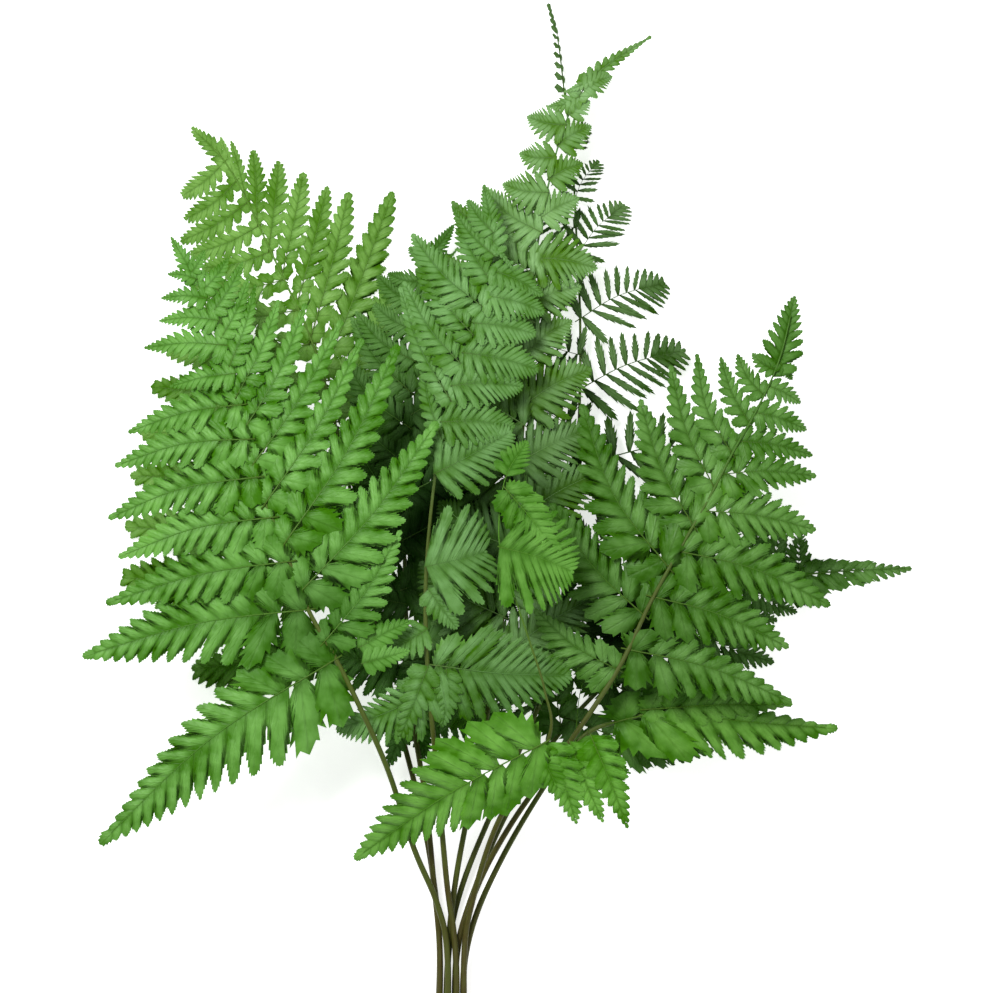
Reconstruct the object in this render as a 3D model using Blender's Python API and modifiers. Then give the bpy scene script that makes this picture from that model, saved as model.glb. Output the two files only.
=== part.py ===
"""A gathered bunch of ten leatherleaf fern fronds, laid down on a surface.

Each frond is one piece: a round stalk, cut at its foot, that runs on as the midrib of a
flat blade of leaflets. A plain band holds the ten stalks together.
The bunch lies with its stalks towards -Y and its tips towards +Y, and it rests at z = 0.
"""

import bpy
import bmesh
import numpy as np

# Driving sizes, in millimetres
STALK_RADIUS = 1.8
MIDRIB_TIP_RADIUS = 0.7
MIDRIB_POINTS = 16
MIDRIB_CROWDING = 1.25
MIDRIB_LIFT = 0.15
BLADE_THICKNESS = 0.8
RIB_HALF_WIDTH = 1.5
LEAFLET_SPACING = 39.0
LEAFLET_CROWDING = 0.55
LEAFLET_BEND = 0.1
LOBE_LENGTH = 16.0
MOST_LOBES = 6
LOBE_LEAN = 0.45
LAST_LEAFLET = 0.9
TIP_BLADE_START = 0.84
TIP_BLADE_HALF_WIDTH = 8.0

# The band round the stalks
BAND_Y = -26.0
BAND_WIDTH = 6.0
BAND_THICKNESS = 1.3
BAND_GAP = 0.55
BAND_SIDES = 32

# How the fronds lie on each other, as heights of their middle surface
ROW_HEIGHTS = (3.8, 7.8, 11.8)
FLOOR_LAYER = 2.6
OUTER_FLOOR_LAYER = -1.2
FOOT_SAG = 2.24
SAG_START, SAG_RUN = 32.0, 26.0
LAYER_GAP = 10.0
OUTER_LAYER_GAP = 6.0
RISE_START, RISE_RUN = 10.0, 150.0
FALL_START, FALL_RUN = 230.0, 220.0
CLEARANCE = 3.1

# The point where the stalks cross lies here in the part's frame
WAIST_X, WAIST_Y = -25.55, -225.4

MILLIMETRE = 0.001
SEED = 7

# Each frond: its layer, counted up from the surface, its row of stalks, how full its
# leaflets are, its colour, its course from the cut foot to the tip, the point of that
# course where the blade starts, and where its leaflets end on each side, as a share of
# the blade's length and a point. Points are millimetres from where the stalks cross.
FRONDS = {
    "frond_left_back": dict(
        layer=0, row=0, fullness=1.0, colour=(0.30, 0.44, 0.13), blade_from=5,
        course=[(-9, -60), (-6.6, 3), (-10, 45), (-18, 87), (-29, 130), (-38, 172), (-51, 236),
                (-62, 286), (-74, 329), (-92, 369), (-118, 422), (-139, 445)],
        left=[(0, -131, 146), (0.12, -176, 204), (0.3, -173, 253), (0.5, -160, 313), (0.64, -139, 352),
              (0.74, -131, 373), (0.82, -144, 381), (0.9, -142, 403), (1, -139, 445)],
        right=[(0, -12, 215), (0.3, -17, 310), (0.43, -36, 352), (0.53, -31, 412), (0.6, -53, 412),
               (0.75, -80, 424), (0.9, -109, 436), (1, -139, 445)]),
    "frond_right_back": dict(
        layer=0, row=0, fullness=0.9, colour=(0.12, 0.22, 0.09), blade_from=4,
        course=[(2, -60), (2.4, 3), (14, 45), (32, 85), (57, 122), (84, 151), (110, 175), (137, 192),
                (163, 202), (200, 208), (245, 210)],
        left=[(0, 57, 188), (0.2, 100, 215), (0.4, 142, 246), (0.55, 169, 244), (0.7, 182, 231),
              (0.9, 220, 215), (1, 245, 210)],
        right=[(0, 131, 109), (0.2, 159, 125), (0.35, 176, 146), (0.5, 185, 175), (0.65, 196, 187),
               (0.9, 229, 203), (1, 245, 210)]),
    "frond_tall_back": dict(
        layer=1, row=0, fullness=0.5, colour=(0.20, 0.28, 0.14), blade_from=4,
        course=[(-3.5, -60), (-2.1, 3), (5, 40), (24, 87), (44, 132), (55, 167), (61, 215), (66, 262),
                (68, 305), (68, 347), (66, 390), (64, 427), (60, 461), (56, 493), (51, 511)],
        left=[(0, 15, 172), (0.15, 25, 236), (0.3, 28, 278), (0.5, 36, 342), (0.62, 36, 384),
              (0.75, 48, 424), (0.85, 53, 461), (1, 51, 511)],
        right=[(0, 100, 193), (0.18, 131, 225), (0.3, 163, 253), (0.45, 128, 319), (0.56, 114, 358),
               (0.67, 93, 399), (0.75, 78, 424), (0.85, 66, 458), (1, 51, 511)]),
    "frond_middle_back": dict(
        layer=2, row=1, fullness=0.95, colour=(0.24, 0.37, 0.17), blade_from=5,
        course=[(-8, -60), (-6.5, 3), (-10, 45), (-14, 87), (-20, 125), (-23, 159), (-25, 204),
                (-25, 246), (-23, 289), (-20, 331), (-14, 368), (1, 393)],
        left=[(0, -81, 172), (0.15, -62, 209), (0.3, -57, 262), (0.6, -53, 343), (0.82, -38, 366),
              (1, 1, 393)],
        right=[(0, 25, 172), (0.2, 20, 236), (0.4, 15, 289), (0.6, 10, 337), (0.8, 2, 368), (1, 1, 393)]),
    "frond_low_right": dict(
        layer=2, row=1, fullness=1.0, colour=(0.17, 0.28, 0.12), blade_from=3,
        course=[(8, -60), (7, 3), (26, 55), (64, 115), (89, 129), (121, 134), (153, 129), (205, 125)],
        left=[(0, 73, 167), (0.2, 100, 167), (0.5, 134, 157), (0.65, 155, 146), (1, 205, 125)],
        right=[(0, 78, 106), (0.15, 100, 110), (0.42, 131, 104), (0.65, 157, 107), (0.8, 176, 114),
               (1, 205, 125)]),
    "frond_centre_top": dict(
        layer=3, row=1, fullness=0.95, colour=(0.25, 0.38, 0.21), blade_from=4,
        course=[(-3, -60), (-2.2, 3), (2, 45), (12, 98), (21, 146), (28, 193), (34, 241), (38, 289),
                (41, 337), (45, 379), (51, 413), (58, 440), (65, 457), (78, 474), (106, 493)],
        left=[(0, -28, 172), (0.2, -12, 246), (0.4, -1, 326), (0.65, 14, 410), (0.73, 32, 412),
              (0.87, 44, 448), (0.93, 67, 472), (1, 106, 493)],
        right=[(0, 78, 183), (0.2, 78, 246), (0.4, 73, 310), (0.5, 65, 351), (0.6, 77, 373),
               (0.76, 81, 428), (0.9, 82, 463), (1, 106, 493)]),
    "frond_right_front": dict(
        layer=4, row=1, fullness=1.0, colour=(0.19, 0.31, 0.13), blade_from=5,
        course=[(2.6, -60), (2.3, 3), (13, 40), (33, 77), (63, 119), (88, 157), (105, 192), (121, 221),
                (137, 249), (149, 272), (162, 295), (174, 322), (182, 355)],
        left=[(0, 36, 172), (0.2, 50, 261), (0.3, 66, 298), (0.42, 100, 310), (0.6, 129, 325),
              (0.75, 151, 326), (0.9, 171, 342), (1, 182, 355)],
        right=[(0, 153, 125), (0.15, 178, 141), (0.3, 204, 192), (0.42, 196, 227), (0.53, 195, 261),
               (0.7, 188, 285), (0.85, 186, 312), (1, 182, 355)]),
    "frond_centre_front": dict(
        layer=5, row=2, fullness=0.95, colour=(0.26, 0.39, 0.21), blade_from=4,
        course=[(2, -60), (2, 3), (-3, 45), (-8, 103), (-12, 146), (-14, 193), (-11, 241), (-4, 289),
                (6, 320), (15, 347), (22, 379), (17, 414)],
        left=[(0, -65, 130), (0.12, -31, 183), (0.3, -36, 262), (0.45, -28, 321), (0.6, -30, 352),
              (0.75, -12, 390), (1, 17, 414)],
        right=[(0, 63, 153), (0.15, 64, 199), (0.28, 19, 219), (0.4, 15, 252), (0.5, 32, 280),
               (0.68, 45, 321), (0.84, 41, 360), (1, 17, 414)]),
    "frond_left_front": dict(
        layer=6, row=2, fullness=1.0, colour=(0.29, 0.42, 0.22), blade_from=6,
        course=[(-3, -60), (-2.4, 3), (-8, 32), (-20, 61), (-34, 104), (-49, 138), (-61, 162), (-77, 191),
                (-89, 223), (-100, 249), (-107, 275), (-112, 298), (-120, 329), (-131, 355), (-149, 386)],
        left=[(0, -184, 66), (0.14, -196, 161), (0.27, -183, 188), (0.39, -175, 214), (0.5, -180, 264),
              (0.6, -174, 279), (0.68, -153, 305), (0.76, -166, 320), (0.86, -155, 347), (1, -149, 386)],
        right=[(0, -6, 215), (0.1, -8, 288), (0.22, -28, 328), (0.33, -47, 329), (0.44, -59, 341),
               (0.6, -78, 348), (0.72, -89, 352), (0.85, -115, 373), (1, -149, 386)]),
    "frond_low_front": dict(
        layer=7, row=2, fullness=1.0, colour=(0.24, 0.37, 0.17), blade_from=4,
        course=[(7, -60), (6.4, 3), (11, 34), (25, 77), (51, 120), (49, 146), (41, 172), (32, 199),
                (25, 225), (28, 257), (40, 278)],
        left=[(0, -52, 56), (0.2, -17, 140), (0.4, -12, 183), (0.6, -6, 215), (0.8, 10, 252), (1, 40, 278)],
        right=[(0, 91, 73), (0.2, 78, 130), (0.4, 73, 172), (0.55, 64, 208), (0.75, 55, 246), (1, 40, 278)]),
}


def smooth_step(share):
    """0 before 0, 1 after 1, and a smooth rise between."""
    share = np.clip(share, 0.0, 1.0)
    return share * share * (3.0 - 2.0 * share)


def smooth_curve(points, count):
    """Evenly spaced points on the Catmull-Rom curve through the given points."""
    points = np.asarray(points, float)
    ends = np.vstack([2 * points[0] - points[1], points, 2 * points[-1] - points[-2]])
    t = np.linspace(0.0, 1.0, 20, endpoint=False)[:, None]
    spans = []
    for a, b, c, d in zip(ends, ends[1:], ends[2:], ends[3:]):
        cubic = (3 * b - a - 3 * c + d) * t**3
        spans.append(0.5 * (2 * b + (c - a) * t + (2 * a - 5 * b + 4 * c - d) * t**2 + cubic))
    return resampled(np.vstack([*spans, points[-1:]]), count)


def resampled(curve, count):
    """The same curve with its points evenly spaced."""
    steps = np.linalg.norm(np.diff(curve, axis=0), axis=1)
    along = np.concatenate([[0.0], np.cumsum(steps)])
    wanted = np.linspace(0.0, along[-1], count)
    return np.column_stack([np.interp(wanted, along, curve[:, k]) for k in range(2)])


def length_of(curve):
    return np.linalg.norm(np.diff(curve, axis=0), axis=1).sum()


def point_at(curve, share):
    """Points at the given shares of an evenly spaced curve."""
    shares = np.linspace(0.0, 1.0, len(curve))
    return np.column_stack([np.interp(share, shares, curve[:, k]) for k in range(2)])


def blade_course(frond):
    """The stretch of the frond's course that carries leaflets."""
    whole = smooth_curve(frond["course"], 600)
    start = np.asarray(frond["course"][frond["blade_from"]], float)
    first = np.argmin(np.linalg.norm(whole - start, axis=1))
    return resampled(whole[first:], 200)


def layer_spacing(reach):
    """The height between one layer and the next, at this distance from the waist."""
    rise = smooth_step((reach - RISE_START) / RISE_RUN)
    fall = smooth_step((reach - FALL_START) / FALL_RUN)
    return rise * (LAYER_GAP - (LAYER_GAP - OUTER_LAYER_GAP) * fall)


def middle_height(frond, x, y):
    """The height of the frond's middle surface: stacked in rows at the waist, then fanned into layers."""
    reach = np.hypot(x, np.maximum(y, 0.0))
    rise = smooth_step((reach - RISE_START) / RISE_RUN)
    fall = smooth_step((reach - FALL_START) / FALL_RUN)
    lowest = FLOOR_LAYER - (FLOOR_LAYER - OUTER_FLOOR_LAYER) * fall
    base = ROW_HEIGHTS[frond["row"]] * (1.0 - rise) + lowest * rise
    sag = FOOT_SAG * smooth_step((-y - SAG_START) / SAG_RUN)
    return base + frond["layer"] * layer_spacing(reach) - sag


def play(x, y):
    """How far a blade may rise or dip from its middle surface and stay clear of the next layer."""
    reach = np.hypot(x, np.maximum(y, 0.0))
    return np.maximum(layer_spacing(reach) - CLEARANCE, 0.0) / 2.0


def to_part(x, y, z):
    return np.column_stack([x + WAIST_X, y + WAIST_Y, z]) * MILLIMETRE


def leaf_stations(frond, side):
    """Where the leaflets of one side leave the midrib, closer together towards the tip."""
    length = length_of(blade_course(frond))
    share = 0.3 * LEAFLET_SPACING / length if side < 0 else 0.0
    stations = []
    while share < LAST_LEAFLET:
        stations.append(share)
        share += LEAFLET_SPACING * (1.0 - LEAFLET_CROWDING * share) / length
    return np.array(stations)


def leaflets_of(frond):
    """Each leaflet's rib from root to tip, and its half width on the upper and the lower side."""
    course = blade_course(frond)
    leaflets = []
    for side, ends in ((1, frond["left"]), (-1, frond["right"])):
        ends = np.asarray(ends, float)
        stations = leaf_stations(frond, side)
        roots = point_at(course, stations)
        tips = np.column_stack([np.interp(stations, ends[:, 0], ends[:, k]) for k in (1, 2)])
        middles = (roots + tips) / 2.0
        for i, (root, tip) in enumerate(zip(roots, tips)):
            along = tip - root
            length = np.hypot(*along)
            across = np.array([along[1], -along[0]]) / length * side
            steps = [abs(across @ (middles[j] - middles[i])) for j in (i - 1, i + 1) if 0 <= j < len(roots)]
            half = 0.5 * np.mean(steps) * frond["fullness"]
            lower = max(half, 0.2 * length) if i == 0 else half
            middle = (root + tip) / 2.0 - across * LEAFLET_BEND * length
            rib = smooth_curve([root, (root + 2 * middle + tip) / 4.0, tip], 40)
            leaflets.append(dict(rib=rib, side=side, upper=min(half, 0.3 * length), lower=min(lower, 0.3 * length)))
    start = point_at(course, np.array([TIP_BLADE_START]))[0]
    rib = resampled(np.vstack([start, course[course_index(course, TIP_BLADE_START):]]), 40)
    half = TIP_BLADE_HALF_WIDTH * frond["fullness"]
    leaflets.append(dict(rib=rib, side=1, upper=half, lower=half))
    return leaflets


def course_index(course, share):
    return int(np.ceil(share * (len(course) - 1)))


def width_share(t):
    """A leaflet's half width along its rib: widest at a third, and narrow at the tip."""
    return (0.9 + 1.6 * t) * (1.0 - t) ** 0.9


def mesh_object(name, points, faces, collection):
    mesh = bpy.data.meshes.new(name)
    mesh.from_pydata([tuple(p) for p in points], [], faces)
    mesh.update()
    obj = bpy.data.objects.new(name, mesh)
    collection.objects.link(obj)
    return obj


def make_leaflet(name, frond, leaflet, draw, collection):
    """One leaflet as a thin arched sheet, cut into lobes almost to its rib."""
    rib = leaflet["rib"]
    count = int(np.clip(round(length_of(rib) / LOBE_LENGTH), 2, MOST_LOBES))
    stations = np.linspace(0.0, 1.0, count + 1)
    tangent = np.gradient(rib, axis=0)
    tangent /= np.linalg.norm(tangent, axis=1, keepdims=True)

    def side_points(share, width, lean):
        """Points beside the rib at these shares of it, with + width on the rib's left."""
        way = point_at(tangent, share)
        left = np.column_stack([-way[:, 1], way[:, 0]])
        return point_at(rib, share) + left * width[:, None] + way * lean[:, None]

    # The lobes of the two sides alternate, as a leaflet's do.
    left_cuts = stations[:-1]
    right_cuts = np.concatenate([[0.0], stations[1:-1] - 0.5 / count])
    # The side towards the frond's tip is the rib's right on left leaflets, and its left on right ones.
    left_width, right_width = leaflet["lower"], leaflet["upper"]
    if leaflet["side"] < 0:
        left_width, right_width = right_width, left_width
    rows, offsets, shares = [], [], []
    for sign, cuts in ((1, left_cuts), (-1, right_cuts)):
        notch = RIB_HALF_WIDTH * (1.0 - 0.6 * cuts)
        rows.append(side_points(cuts, sign * notch, 0 * notch))
        offsets.append(sign * notch / LOBE_LENGTH)
        shares.append(cuts)
    for sign, cuts, half in ((1, left_cuts, left_width), (-1, right_cuts, right_width)):
        centres = (cuts + np.append(cuts[1:], 1.0)) / 2.0
        width = half * width_share(centres) * (1.0 + 0.12 * draw.uniform(-1, 1, count))
        rows.append(side_points(centres, sign * width, LOBE_LEAN * width))
        offsets.append(sign * np.ones(count))
        shares.append(centres)
    flat = np.vstack([*rows, rib[-1:]])
    offset = np.append(np.concatenate(offsets), 0.0)
    shares = np.append(np.concatenate(shares), 1.0)

    roll = draw.uniform(-0.35, 0.35)
    lift = draw.uniform(0.2, 0.6)
    own = 4.0 * lift * shares * (1.0 - shares) - 0.7 * shares**2 + roll * offset - 0.3 * np.abs(offset)
    height = middle_height(frond, flat[:, 0], flat[:, 1]) + play(flat[:, 0], flat[:, 1]) * np.clip(own, -1, 1)
    height = np.maximum(height, BLADE_THICKNESS / 2.0)

    tip = 4 * count
    faces = []
    for i in range(count):
        left, right, left_lobe, right_lobe = i, count + i, 2 * count + i, 3 * count + i
        if i + 1 < count:
            faces += [(left, right, right + 1), (left, right + 1, left + 1)]
            faces += [(left, left + 1, left_lobe), (right, right_lobe, right + 1)]
        else:
            faces += [(left, right, tip), (left, tip, left_lobe), (right, right_lobe, tip)]
    obj = mesh_object(name, to_part(flat[:, 0], flat[:, 1], height), faces, collection)
    solidify = obj.modifiers.new("thickness", "SOLIDIFY")
    solidify.thickness = BLADE_THICKNESS * MILLIMETRE
    solidify.offset = 0.0
    obj.modifiers.new("triangles", "TRIANGULATE")
    return obj


def make_midrib(name, frond, collection):
    """The round stalk and midrib: a tapered tube from the cut foot to the tip blade."""
    course = smooth_curve(frond["course"], 400)
    share_of_blade = length_of(blade_course(frond)) / length_of(course)
    end = 1.0 - 0.07 * share_of_blade
    shares = end * np.linspace(0.0, 1.0, MIDRIB_POINTS) ** MIDRIB_CROWDING
    points = point_at(course, shares)
    radius = np.interp(shares, [0.0, 1.0 - share_of_blade, end], [1.0, 0.85, MIDRIB_TIP_RADIUS / STALK_RADIUS])
    height = middle_height(frond, points[:, 0], points[:, 1])
    on_surface = STALK_RADIUS * radius + MIDRIB_LIFT
    height = np.where(points[:, 1] > 0.0, np.maximum(height, on_surface), height)

    curve = bpy.data.curves.new(name, "CURVE")
    curve.dimensions = "3D"
    curve.bevel_depth = STALK_RADIUS * MILLIMETRE
    curve.bevel_resolution = 1
    curve.use_fill_caps = True
    spline = curve.splines.new("POLY")
    spline.points.add(MIDRIB_POINTS - 1)
    for point, place, size in zip(spline.points, to_part(points[:, 0], points[:, 1], height), radius):
        point.co = (*place, 1.0)
        point.radius = size
    curve_object = bpy.data.objects.new(name + "_course", curve)
    collection.objects.link(curve_object)

    graph = bpy.context.evaluated_depsgraph_get()
    mesh = bpy.data.meshes.new_from_object(curve_object.evaluated_get(graph))
    closed = bmesh.new()
    closed.from_mesh(mesh)
    bmesh.ops.remove_doubles(closed, verts=closed.verts, dist=0.00001)
    bmesh.ops.triangulate(closed, faces=closed.faces)
    closed.to_mesh(mesh)
    closed.free()
    obj = bpy.data.objects.new(name, mesh)
    obj.matrix_world = curve_object.matrix_world
    collection.objects.link(obj)
    bpy.data.objects.remove(curve_object)
    return obj


def keep_main_body(mesh):
    """Drops what is not connected to the largest body: a sealed hollow's walls, or a loose scrap."""
    whole = bmesh.new()
    whole.from_mesh(mesh)
    unseen = set(whole.verts)
    bodies = []
    while unseen:
        body, edge_of_body = set(), [unseen.pop()]
        while edge_of_body:
            vert = edge_of_body.pop()
            body.add(vert)
            near = {edge.other_vert(vert) for edge in vert.link_edges} & unseen
            unseen -= near
            edge_of_body += near
        bodies.append(body)
    bodies.sort(key=len)
    for body in bodies[:-1]:
        bmesh.ops.delete(whole, geom=list(body), context="VERTS")
    whole.to_mesh(mesh)
    whole.free()


def make_material(name, colour, roughness):
    material = bpy.data.materials.new(name)
    material.use_nodes = True
    shader = material.node_tree.nodes["Principled BSDF"]
    shader.inputs["Base Color"].default_value = (*colour, 1.0)
    shader.inputs["Roughness"].default_value = roughness
    shader.inputs["Metallic"].default_value = 0.0
    return material


def make_frond(name, frond, seed, collection):
    """The stalk and its leaflets, joined into one solid."""
    draw = np.random.default_rng(seed)
    pieces = bpy.data.collections.new(name + "_leaflets")
    bpy.context.scene.collection.children.link(pieces)
    obj = make_midrib(name, frond, collection)
    for i, leaflet in enumerate(leaflets_of(frond)):
        make_leaflet(f"{name}_leaflet_{i}", frond, leaflet, draw, pieces)
    union = obj.modifiers.new("join", "BOOLEAN")
    union.operation = "UNION"
    union.operand_type = "COLLECTION"
    union.collection = pieces
    union.solver = "MANIFOLD"
    bpy.context.view_layer.update()
    graph = bpy.context.evaluated_depsgraph_get()
    joined = bpy.data.meshes.new_from_object(obj.evaluated_get(graph))
    keep_main_body(joined)
    obj.modifiers.clear()
    obj.data = joined
    for piece in list(pieces.objects):
        bpy.data.objects.remove(piece)
    bpy.data.collections.remove(pieces)
    joined.materials.clear()
    joined.materials.append(make_material(name + "_green", frond["colour"], 0.5))
    joined.shade_smooth()
    joined.set_sharp_from_angle(angle=np.radians(35.0))
    return obj


def stalk_centres(y):
    """Where the ten stalks pass this y, as points in x and z."""
    centres = []
    for frond in FRONDS.values():
        course = smooth_curve(frond["course"], 400)
        rising = course[: np.argmax(course[:, 1] > 30.0)]
        x = np.interp(y, rising[:, 1], rising[:, 0])
        centres.append((x, float(middle_height(frond, x, y))))
    return np.array(centres)


def make_band(collection):
    """The band: the line at one distance round all the stalks, as a flat strip with a thickness."""
    centres = stalk_centres(BAND_Y)
    angles = np.linspace(0.0, 2.0 * np.pi, BAND_SIDES, endpoint=False)
    ways = np.column_stack([np.cos(angles), np.sin(angles)])
    outermost = centres[np.argmax(ways @ centres.T, axis=1)]
    ring = outermost + ways * (STALK_RADIUS + BAND_GAP)
    count = len(ring)
    low = to_part(ring[:, 0], np.full(count, BAND_Y - BAND_WIDTH / 2.0), ring[:, 1])
    high = to_part(ring[:, 0], np.full(count, BAND_Y + BAND_WIDTH / 2.0), ring[:, 1])
    faces = [(i, count + i, count + (i + 1) % count, (i + 1) % count) for i in range(count)]
    obj = mesh_object("tie_band", np.vstack([low, high]), faces, collection)
    solidify = obj.modifiers.new("thickness", "SOLIDIFY")
    solidify.thickness = BAND_THICKNESS * MILLIMETRE
    solidify.offset = 1.0
    solidify.use_even_offset = True
    obj.modifiers.new("triangles", "TRIANGULATE")
    obj.data.materials.append(make_material("band_rubber", (0.23, 0.17, 0.09), 0.6))
    return obj


def clear_scene():
    for obj in list(bpy.data.objects):
        bpy.data.objects.remove(obj)


def main():
    clear_scene()
    collection = bpy.data.collections.new("leatherleaf_fern_bunch")
    bpy.context.scene.collection.children.link(collection)
    for i, (name, frond) in enumerate(FRONDS.items()):
        make_frond(name, frond, SEED + i, collection)
    make_band(collection)


main()
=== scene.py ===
"""Looks of a gathered bunch of ten leatherleaf fern fronds that lies on a pale floor."""

import bpy
import numpy as np
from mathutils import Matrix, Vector


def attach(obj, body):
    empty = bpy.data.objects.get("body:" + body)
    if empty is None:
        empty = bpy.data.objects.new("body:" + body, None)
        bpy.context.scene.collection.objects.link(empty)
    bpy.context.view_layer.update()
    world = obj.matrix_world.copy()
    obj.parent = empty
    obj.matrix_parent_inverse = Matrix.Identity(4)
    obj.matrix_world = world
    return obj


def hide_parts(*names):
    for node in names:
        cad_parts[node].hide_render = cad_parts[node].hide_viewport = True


bl_info = {
    "name": "Leatherleaf Fern Bunch",
    "version": (1, 0, 0),
    "blender": (4, 5, 0),
    "location": "View3D > Sidebar > Fern",
    "description": "Builds the fronds, the band and the studio of a fern bunch",
    "category": "Add Mesh",
}

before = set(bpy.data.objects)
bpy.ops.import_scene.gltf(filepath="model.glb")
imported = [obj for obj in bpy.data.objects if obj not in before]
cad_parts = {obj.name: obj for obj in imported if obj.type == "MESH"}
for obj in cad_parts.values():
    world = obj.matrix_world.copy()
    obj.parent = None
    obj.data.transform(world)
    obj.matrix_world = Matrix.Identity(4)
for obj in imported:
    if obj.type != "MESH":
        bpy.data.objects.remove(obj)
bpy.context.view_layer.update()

# All lengths below are millimetres, and meshes are scaled when they are made
MILLIMETRE = 0.001
SEED = 7

# The point where the stalks cross, in the part's frame, and the middle of the picture, from that point
WAIST_X, WAIST_Y = -25.55, -225.4
PHOTO_CENTRE = (23.6, 248.3)

# Stalks and midribs: the radius at the foot, where the blade starts, at the share NARROWED of the blade,
# and at the tip, the groove on top as a share of the radius, and the mesh
MIDRIB_RADII = (1.8, 1.3, 0.85, 0.35)
NARROWED = 0.35
GROOVE = 0.14
STALK_SIDES = 12
STALK_RINGS = 90
# Leaflets' ribs: the radius of a rib that is RIB_LENGTH long, and the mesh
RIB_RADIUS = 0.42
RIB_LENGTH = 70.0
RIB_SIDES = 5
RIB_RINGS = 12

# How the fronds lie on each other: the heights of the rows of stalks, of the lowest layer near the waist
# and far from it, how deep the feet sag and where, the gap from layer to layer near the waist and far from
# it, where the layers part and where they close up, and the room that is kept clear between two layers
ROW_HEIGHTS = (3.8, 7.8, 11.8)
FLOOR_LAYER = 2.6
OUTER_FLOOR_LAYER = -1.2
FOOT_SAG = 2.24
SAG_START, SAG_RUN = 32.0, 26.0
LAYER_GAP = 10.0
OUTER_LAYER_GAP = 6.0
RISE_START, RISE_RUN = 10.0, 150.0
FALL_START, FALL_RUN = 230.0, 220.0
CLEARANCE = 2.9
LOWEST_LEAF = 0.3

# The deep parts of the bunch, where the lower layers see little light and their leaves get painted shade:
# the middle of each, its reach and its strength, and how dim each layer gets
DIM_SPOTS = ((7.0, 240.0, 75.0, 1.0), (93.0, 180.0, 34.0, 1.0))
DIMMED = (1.0, 1.0, 0.97, 0.75, 0.28, 0.12, 0.0, 0.35)

# Leaflets: how much their step shrinks towards the tip, how far a root reaches over the midrib, the last
# one's place, the least room beside them, how much wider the lower side is, and the first one's two sides
LEAFLET_CROWDING = 0.72
LEAFLET_OVERHANG = 4.0
LAST_LEAFLET = 0.93
LEAFLET_ROOM = 1.5
LOWER_WIDER = 1.1
FIRST_UPPER = 0.7
FIRST_LOWER = 0.2

# Pinnules: their step on a very short leaflet, its growth with the length, its least and most, how much
# it shrinks towards the tip, the shares of a rib where the upper and the lower row start, and where both end
PINNULE_STEP = (1.6, 0.098)
PINNULE_STEP_RANGE = (3.3, 15.5)
PINNULE_CROWDING = 0.6
ROW_STARTS = (0.05, 0.2)
ROW_END = 0.99
# How much further they stand off the rib near its root, in degrees, upper and lower, the share of the rib
# over which that fades, and how much closer they lie to it at its tip
ROOT_SPREAD = (15.0, 36.0)
SPREAD_FADE = 0.22
TIP_LEAN = 10.0
# Leaflets shorter than this start to join from their root, and fully so over the run below it
SHORT_LEAFLET, SHORT_RUN = 50.0, 25.0
# The share of the rib over which free pinnules turn into a blade, and where neighbours in that blade meet,
# as a share of a pinnule's length, at first and how much further out later
JOINING = 0.45
NOTCH, NOTCH_RISE = 0.34, 0.32
# Teeth: their size on a very short pinnule, its growth with the length, and its least and most
TEETH = (0.13, 0.008)
TEETH_RANGE = (0.17, 0.24)
# How a pinnule's grid is laid out, by how long it is: samples round its edge, and rings from its base
GRADES = ((13.0, 25, (0.0, 0.36, 0.7, 1.0)), (6.0, 17, (0.0, 0.52, 1.0)), (0.0, 9, (0.0, 0.55, 1.0)))
LEAF_HALF_THICKNESS = 0.15

# Each frond, in millimetres from where the stalks cross. Pairs are for the left and the right side.
# layer, row: its place in the pile of leaves, counted up from the floor, and in the rows of stalks
# course, blade_from: its course from the foot to the tip, and the point of it where leaflets start
# left, right: where leaflets end on that side, as a share of the blade's length and a point
# spacing, starts, bends: the leaflets' step, the first one's place as a share of it, and their bow
# bare, unruly: the stretch with no leaflets, and how far the leaflets' tips stray
# fullness, broad: a leaflet's width against its neighbours' distance, and at most against its length
# pointed: the power by which a leaflet narrows to its tip
# necked: its width at its root, as a share of its full width, and the share of its length that it grows over
# step, slender: the pinnules' step and their width
# lean: how far the upper and the lower row stand off the rib, in degrees
# free: the share of a leaflet up to which its pinnules are free, after which they join to one blade
# tip: where the blade's undivided tip starts, and its two half widths
# placed: single leaflets: root, tip, two half widths, height, and 1 for a blade that is lobed all along
# sink: how far before the blade the midrib starts to sink, as a share of the course, and how deep
# slim: how thin the midrib is there, as a share of the usual
# colour, shaded: the leaf's colour, and spots of painted shade on it, as a point, its reach and its strength
# slot: the record's material slot
COMMON = dict(
    free=0.2, starts=(0.0, 0.35), bare=((2.0, 2.0), (2.0, 2.0)), necked=(0.72, 0.18), lean=(51.0, 51.0),
    sink=(0.06, 2.0), slim=1.0, placed=(), shaded=())
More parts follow.
